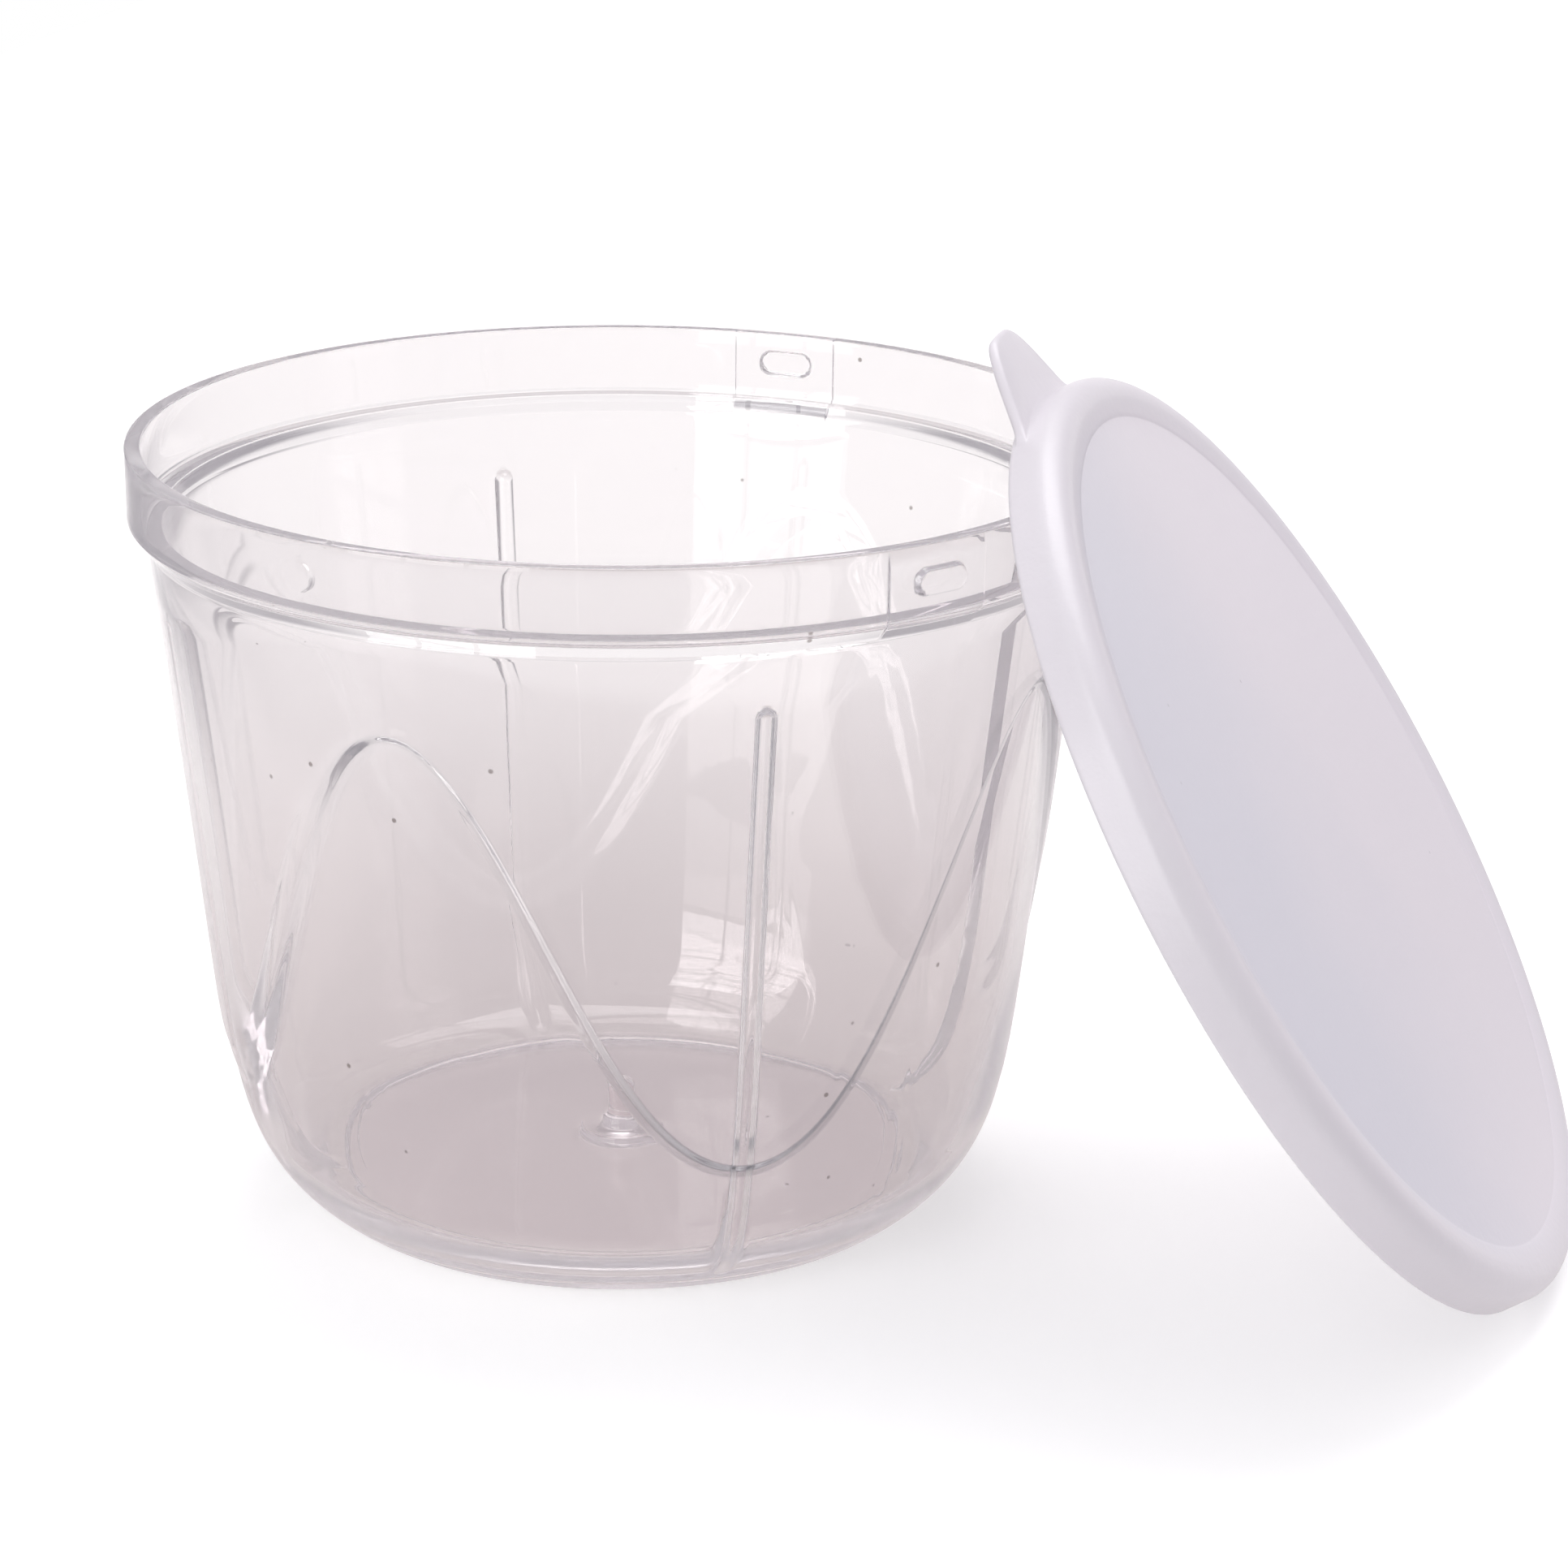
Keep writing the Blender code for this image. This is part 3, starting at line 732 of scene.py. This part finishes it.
# %% Inside of the lid: panel, plug ring and skirt
LID_HEIGHT = 7.2
PANEL_RADIUS = LID_RADIUS - 6.6
PANEL_TOP = LID_HEIGHT - 0.6
PANEL_UNDER = PANEL_TOP - 1.3
PLUG_RADIUS = COLLAR_RADIUS - COLLAR_WALL - 0.25
PLUG_INSIDE = PLUG_RADIUS - 1.5
PLUG_HALF = 0.5 * (PLUG_RADIUS - PLUG_INSIDE)
PLUG_FOOT = 2.7
FILLET = 0.5
BEAD = 0.3
EDGE_ROUND = 0.5

lid_inside = [(r, PANEL_UNDER) for r in (8.0, 25.0, 45.0)]
corner = (PLUG_INSIDE, PANEL_UNDER)
lid_inside += bend((PLUG_INSIDE - 1.0, PANEL_UNDER), corner, (PLUG_INSIDE, PANEL_UNDER - 1.0), 5)
lid_inside += arc((PLUG_INSIDE + PLUG_HALF, PLUG_FOOT + PLUG_HALF), PLUG_HALF, 180.0, 360.0, 9)
corner = (PLUG_RADIUS, PANEL_UNDER)
lid_inside += bend((PLUG_RADIUS, PANEL_UNDER - FILLET), corner, (PLUG_RADIUS + FILLET, PANEL_UNDER), 4)
corner = (SKIRT_INSIDE, PANEL_UNDER)
lid_inside += bend((SKIRT_INSIDE - FILLET, PANEL_UNDER), corner, (SKIRT_INSIDE, PANEL_UNDER - FILLET), 4)
lid_inside += [(SKIRT_INSIDE, 2.6), (SKIRT_INSIDE - 0.5 * BEAD, 2.1)]
lid_inside += [(SKIRT_INSIDE - BEAD, 1.6), (SKIRT_INSIDE - BEAD, 1.1)]
lid_inside += [(SKIRT_INSIDE - 0.12, 0.5), (SKIRT_INSIDE + 0.05, 0.15)]
lid_inside += arc((LID_RADIUS - EDGE_ROUND, EDGE_ROUND), EDGE_ROUND, 240.0, 360.0, 6)
print(len(lid_inside), "rings inside the lid")

# %% Outside of the lid: tab, rolled rim and sunk panel
RIM_ROLL = 3.0
RIM_TOP = LID_RADIUS - 3.6

lid_outside = [(LID_RADIUS + 0.02 * reach, 0.8)]
swell = np.minimum(1.0, reach / 1.5)
for t in np.radians(np.linspace(-80.0, 80.0, 11)):
    edge_radius = tab - TAB_HALF_THICKNESS * swell * (1.0 - np.cos(t))
    lid_outside.append((edge_radius, TAB_MIDDLE + TAB_HALF_THICKNESS * np.sin(t)))
for share, z in ((0.35, 2.42), (0.1, 2.5), (0.02, 2.8), (0.0, 3.4)):
    lid_outside.append((LID_RADIUS + share * reach, z))
lid_outside += arc((LID_RADIUS - RIM_ROLL, LID_HEIGHT - RIM_ROLL), RIM_ROLL, 0.0, 90.0, 12)
corner = (PANEL_RADIUS + 2.4, LID_HEIGHT)
lid_outside += bend((RIM_TOP, LID_HEIGHT), corner, (PANEL_RADIUS + 0.15, PANEL_TOP + 0.1), 9)
corner = (PANEL_RADIUS, PANEL_TOP)
lid_outside += bend((PANEL_RADIUS + 0.1, PANEL_TOP + 0.08), corner, (PANEL_RADIUS - 0.2, PANEL_TOP), 4)
lid_outside += [(r, PANEL_TOP) for r in (PANEL_RADIUS - 3.0, 50.0, 35.0, 18.0, 7.0)]
print(len(lid_outside), "rings outside the lid")

# %% [markdown]
# The lid leans on the rim with its low edge on the table. Three unit vectors say how: down its slope, to
# its side, and the way that its outside faces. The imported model's box then gives its place, so that it
# touches the table and reaches as far to the right as the plain one does.

# %% Lean the lid on the rim
LID_FACES_UP = 32.7
LID_TURN = np.radians(90.0 - LID_FACES_UP)

down_slope = np.array([np.cos(LID_TURN), 0.0, -np.sin(LID_TURN)])
side = np.array([0.0, 1.0, 0.0])
facing = np.array([np.sin(LID_TURN), 0.0, np.cos(LID_TURN)])
leaning = stack(lid_inside + lid_outside, lid_angle) @ np.stack([down_slope, side, facing])
_, lid_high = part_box("storage_lid")
lid_place = np.array([lid_high.x / MM - leaning[..., 0].max(), 0.0, -leaning[..., 2].min()])
print("lid's middle is at", lid_place.round(2))

# %% Mesh of the lid
lid_first = lid_place + PANEL_UNDER * facing
lid_last = lid_place + PANEL_TOP * facing
lid = skin("soft_lid", leaning + lid_place, lid_first, lid_last)
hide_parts("storage_lid")
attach(lid, "storage_lid")

# %% [markdown]
# ## Soft white plastic
# Soft polyethylene lets a little light in and scatters it, so the material has some subsurface
# scattering. The panel's tone drifts from one side to the other, with faint clouds from the moulding, and
# the rolled rim has one tone between the two. A Mapping node turns the object's coordinates into the
# lid's own, where the panel is flat. Fine grain and uneven wear come as bump and roughness.

# %% Material of the lid
PANEL_COOL = (0.70, 0.68, 0.75, 1.0)
PANEL_WARM = (0.79, 0.735, 0.79, 1.0)
RIM_TONE = (0.745, 0.705, 0.75, 1.0)
PALE_DUST = (0.50, 0.47, 0.51, 1.0)
DRIFT_ACROSS = (-62.0, 45.0)
DRIFT_SHARE = 0.75
CLOUD_SHARE = 0.5
TONE_SPAN = (0.25, 0.95)
RIM_SPAN = (58.0, 63.0)
DUST_ON_LID = 0.4
SATIN = 0.26
WEAR = 0.12

soft, shader, point = new_material("soft_white_plastic")
turned = {"Vector": point, "Location": tuple(lid_place * MM), "Rotation": (0.0, LID_TURN, 0.0)}
flat = point.add("ShaderNodeMapping", turned, vector_type="TEXTURE")
drift = (flat.coordinate(1) / MM).between(*DRIFT_ACROSS) * DRIFT_SHARE
cloudy = flat.noise(28.0, 3.0) * CLOUD_SHARE + drift
milk = cloudy.between(*TONE_SPAN).blend(PANEL_COOL, PANEL_WARM)
in_plane = flat.add("ShaderNodeVectorMath", {0: flat, 1: (1.0, 1.0, 0.0)}, operation="MULTIPLY")
from_middle = in_plane.distance((0.0, 0.0, 0.0)) / MM
milk = from_middle.between(*RIM_SPAN).blend(milk, RIM_TONE)
milk = specks(point, DUST_ON_LID).blend(milk, PALE_DUST)
fine = point.noise(900.0, 2.0)
grain = point.add("ShaderNodeBump", {"Strength": 0.10, "Distance": 0.0005, "Height": fine})
worn = SATIN + WEAR * flat.noise(60.0, 4.0)
feed(shader, Base_Color=milk, Normal=grain, Roughness=worn, IOR=1.5)
feed(shader, Subsurface_Weight=0.25, Subsurface_Scale=0.004, Subsurface_Radius=(1.0, 0.95, 1.0))
lid.data.materials.append(soft)
print(len(soft.node_tree.nodes), "nodes in the soft plastic")

# %% [markdown]
# ## Floor
# Clear plastic has hardly a colour of its own: it shows what stands round it. So the floor is white for the
# camera, which looks past the bowl at it, and carries a soft grey pattern for rays that come through the
# plastic. It is light grey under the bowl, a painted shadow of the pair, brighter further back, and darkest
# to both sides and toward the front, which draws the bowl's outline. The floor keeps the pair's shadow
# because only part of its white is light of its own.

# %% Floor
FLOOR_LEFT = -0.5
FLOOR_FRONT = -0.17
FLOOR_FAR = 4.0
FLOOR_Z = -0.0002
LEVEL_RIGHT = (0.970, 0.245, 0.0)
PALE = (0.80, 0.79, 0.795, 1.0)
# Painted shadow: the darker tone under the bowl that rays through the plastic find.
PAINTED_SHADOW_UNDER_BOWL = (0.76, 0.70, 0.71, 1.0)
FAR_BACK = (1.14, 1.105, 1.11, 1.0)
TO_SIDES = (0.40, 0.375, 0.405, 1.0)
TO_FRONT = (0.435, 0.415, 0.45, 1.0)
BACK_FADE = (0.02, 0.30)
SIDE_FADE = (0.13, 0.24)
SIDE_SHIFT = 0.03
FRONT_FADE = (-0.08, -0.165)
OWN_LIGHT = 0.42
PATTERN_SHARE = 0.9


def quad(name, corners):
    """One flat face through four corners, linked to the scene and to no body, so that it isn't part of the
    object.
    """
    mesh = bpy.data.meshes.new(name)
    mesh.from_pydata([tuple(c) for c in corners], [], [(0, 1, 2, 3)])
    piece = bpy.data.objects.new(name, mesh)
    bpy.context.scene.collection.objects.link(piece)
    return piece


front_edge = [(FLOOR_LEFT, FLOOR_FRONT, FLOOR_Z), (FLOOR_FAR, FLOOR_FRONT, FLOOR_Z)]
far_edge = [(FLOOR_FAR, FLOOR_FAR, FLOOR_Z), (FLOOR_LEFT, FLOOR_FAR, FLOOR_Z)]
floor = quad("floor", front_edge + far_edge)
pale, shader, point = new_material("pale_floor")
from_camera, in_plastic = ray_kinds(pale.node_tree)
feed(shader, Base_Color=PALE, Roughness=0.9, Specular_IOR_Level=0.0)
feed(shader, Emission_Color=from_camera.blend(grey(0.0), grey(OWN_LIGHT)), Emission_Strength=1.0)
tone = point.distance(tuple(ON_AXIS * MM)).between(*BACK_FADE).blend(PAINTED_SHADOW_UNDER_BOWL, FAR_BACK)
sideways = point.along(LEVEL_RIGHT) + SIDE_SHIFT
tone = sideways.math("ABSOLUTE", sideways).between(*SIDE_FADE).blend(tone, TO_SIDES)
tone = point.coordinate(1).between(*FRONT_FADE).blend(tone, TO_FRONT)
seen_in_plastic = tone.add("ShaderNodeEmission", {"Color": tone, "Strength": 1.0})
both = {0: in_plastic * PATTERN_SHARE, 1: Wire(pale.node_tree, shader.outputs[0]), 2: seen_in_plastic}
surface = tone.add("ShaderNodeMixShader", both)
output = pale.node_tree.nodes["Material Output"]
pale.node_tree.links.new(surface.socket, output.inputs["Surface"])
floor.data.materials.append(pale)
print("floor from", FLOOR_FRONT, "to", FLOOR_FAR, "m")

# %% [markdown]
# ## Room
# The world is white for the camera. For everything else it is a plain room: grey walls that grow bright
# toward the back, a darker doorway at the left, and a dim ceiling. Rays that come through the plastic
# find all but its back dimmed, and across the back a dim band a little over the horizon, which draws the
# dark lines along the rim and the ledge.

# %% World
LEVEL_BACK = (-0.245, 0.970, 0.0)
TO_DOORWAY = (-0.906, 0.423, 0.0)
WALL_NEAR = (0.58, 0.58, 0.60, 1.0)
WALL_BACK = (1.05, 1.02, 1.03, 1.0)
DOORWAY = (0.30, 0.29, 0.33, 1.0)
CEILING = (0.60, 0.60, 0.63, 1.0)
DIM_BAND = (0.40, 0.38, 0.415, 1.0)
WALLS_FADE = (-0.35, 0.45)
DOORWAY_FADE = (0.80, 0.93)
CEILING_FADE = (0.5, 0.95)
BAND_FOOT = (0.12, 0.18)
BAND_TOP = (0.62, 0.45)
DIM_AWAY_FROM_BACK = (0.90, 0.62)
DIM_SHARE = 0.8

world = bpy.data.worlds.new("room")
bpy.context.scene.world = world
world.use_nodes = True
tree = world.node_tree
direction = Wire(tree, None).add("ShaderNodeTexCoord", output="Generated")
upward = direction.coordinate(2)
backward = direction.along(LEVEL_BACK)
camera_ray, in_plastic = ray_kinds(tree)
room = backward.between(*WALLS_FADE).blend(WALL_NEAR, WALL_BACK)
room = direction.along(TO_DOORWAY).between(*DOORWAY_FADE).blend(room, DOORWAY)
room = upward.between(*CEILING_FADE).blend(room, CEILING)
shelf = upward.between(*BAND_FOOT) * upward.between(*BAND_TOP)
away = DIM_SHARE * backward.between(*DIM_AWAY_FROM_BACK)
dim = shelf.math("MAXIMUM", shelf, away) * in_plastic
room = dim.blend(room, DIM_BAND)
feed(tree.nodes["Background"], Color=camera_ray.blend(room, grey(1.0)), Strength=1.0)
print(len(tree.nodes), "nodes in the world")

# %% [markdown]
# ## Lamp and window
# One large soft lamp hangs over the back of the pair. The window in the photograph mirrors in the back of
# the bowl as a pale patch with dark bars. It is fifteen glowing panes to the left of the camera, with
# gaps for the bars. Rays that the plastic sends on find them bright, the lowest row dimmer, and all other
# rays find one plain strength, so that the lid and the floor get no more light than they should.

# %% Overhead lamp
LOOK_AT = Vector((AXIS_X * MM, 0.0, 0.05))


def around(azimuth, elevation, distance):
    """Point seen from the bowl's axis: azimuth to the right of the photograph's front, and elevation."""
    a, e = np.radians([FRONT + azimuth, elevation])
    way = np.array([np.cos(e) * np.cos(a), np.cos(e) * np.sin(a), np.sin(e)])
    return np.array(LOOK_AT) + distance * way


def soft_box(name, azimuth, elevation, distance, width, tall, watts):
    """Area lamp that faces the bowl."""
    data = bpy.data.lights.new(name, "AREA")
    data.shape = "RECTANGLE"
    data.size = width
    data.size_y = tall
    data.energy = watts
    lamp = bpy.data.objects.new(name, data)
    bpy.context.scene.collection.objects.link(lamp)
    lamp.location = around(azimuth, elevation, distance)
    lamp.rotation_euler = (lamp.location - LOOK_AT).to_track_quat("Z", "Y").to_euler()
    return lamp


overhead = soft_box("overhead", azimuth=160.0, elevation=70.0, distance=1.3, width=1.0, tall=1.0, watts=9.0)
print("lamp at", [round(c, 2) for c in overhead.location])

# %% Window panes
PANES_LEFT = -62.0
PANES_BOTTOM = -8.0
PANES_DISTANCE = 1.5
PANE_PITCH = (14.5, 11.5)
PANE_SIZE = (13.2, 10.3)
PANE_COLUMNS = 3
PANE_ROWS = 5
GLOW_BRIGHT = 5.5
GLOW_LOWEST_ROW = 1.7
GLOW_ELSEWHERE = 2.5


def glowing(name, strength):
    """Black material that glows at the given strength in plastic, and at a plain one elsewhere."""
    glow, shader, _ = new_material(name)
    _, in_plastic = ray_kinds(glow.node_tree)
    light = in_plastic.blend(grey(GLOW_ELSEWHERE), grey(strength))
    feed(shader, Base_Color=grey(0.0), Emission_Color=light, Emission_Strength=1.0)
    return glow


pane_bright = glowing("pane_bright", GLOW_BRIGHT)
pane_dim = glowing("pane_dim", GLOW_LOWEST_ROW)
for column in range(PANE_COLUMNS):
    for row in range(PANE_ROWS):
        azimuths = PANES_LEFT + PANE_PITCH[0] * column + np.array([0.0, PANE_SIZE[0]])
        elevations = PANES_BOTTOM + PANE_PITCH[1] * row + np.array([0.0, PANE_SIZE[1]])
        low = [around(a, elevations[0], PANES_DISTANCE) for a in azimuths]
        high = [around(a, elevations[1], PANES_DISTANCE) for a in azimuths[::-1]]
        pane = quad(f"pane_{column}_{row}", low + high)
        pane.data.materials.append(pane_dim if row == 0 else pane_bright)
print(PANE_COLUMNS * PANE_ROWS, "panes")

# %% [markdown]
# ## View settings
# Standard keeps colours as they are written. The dressed model must fill the same box as the imported one.

# %% View settings
bpy.context.scene.view_settings.view_transform = "Standard"
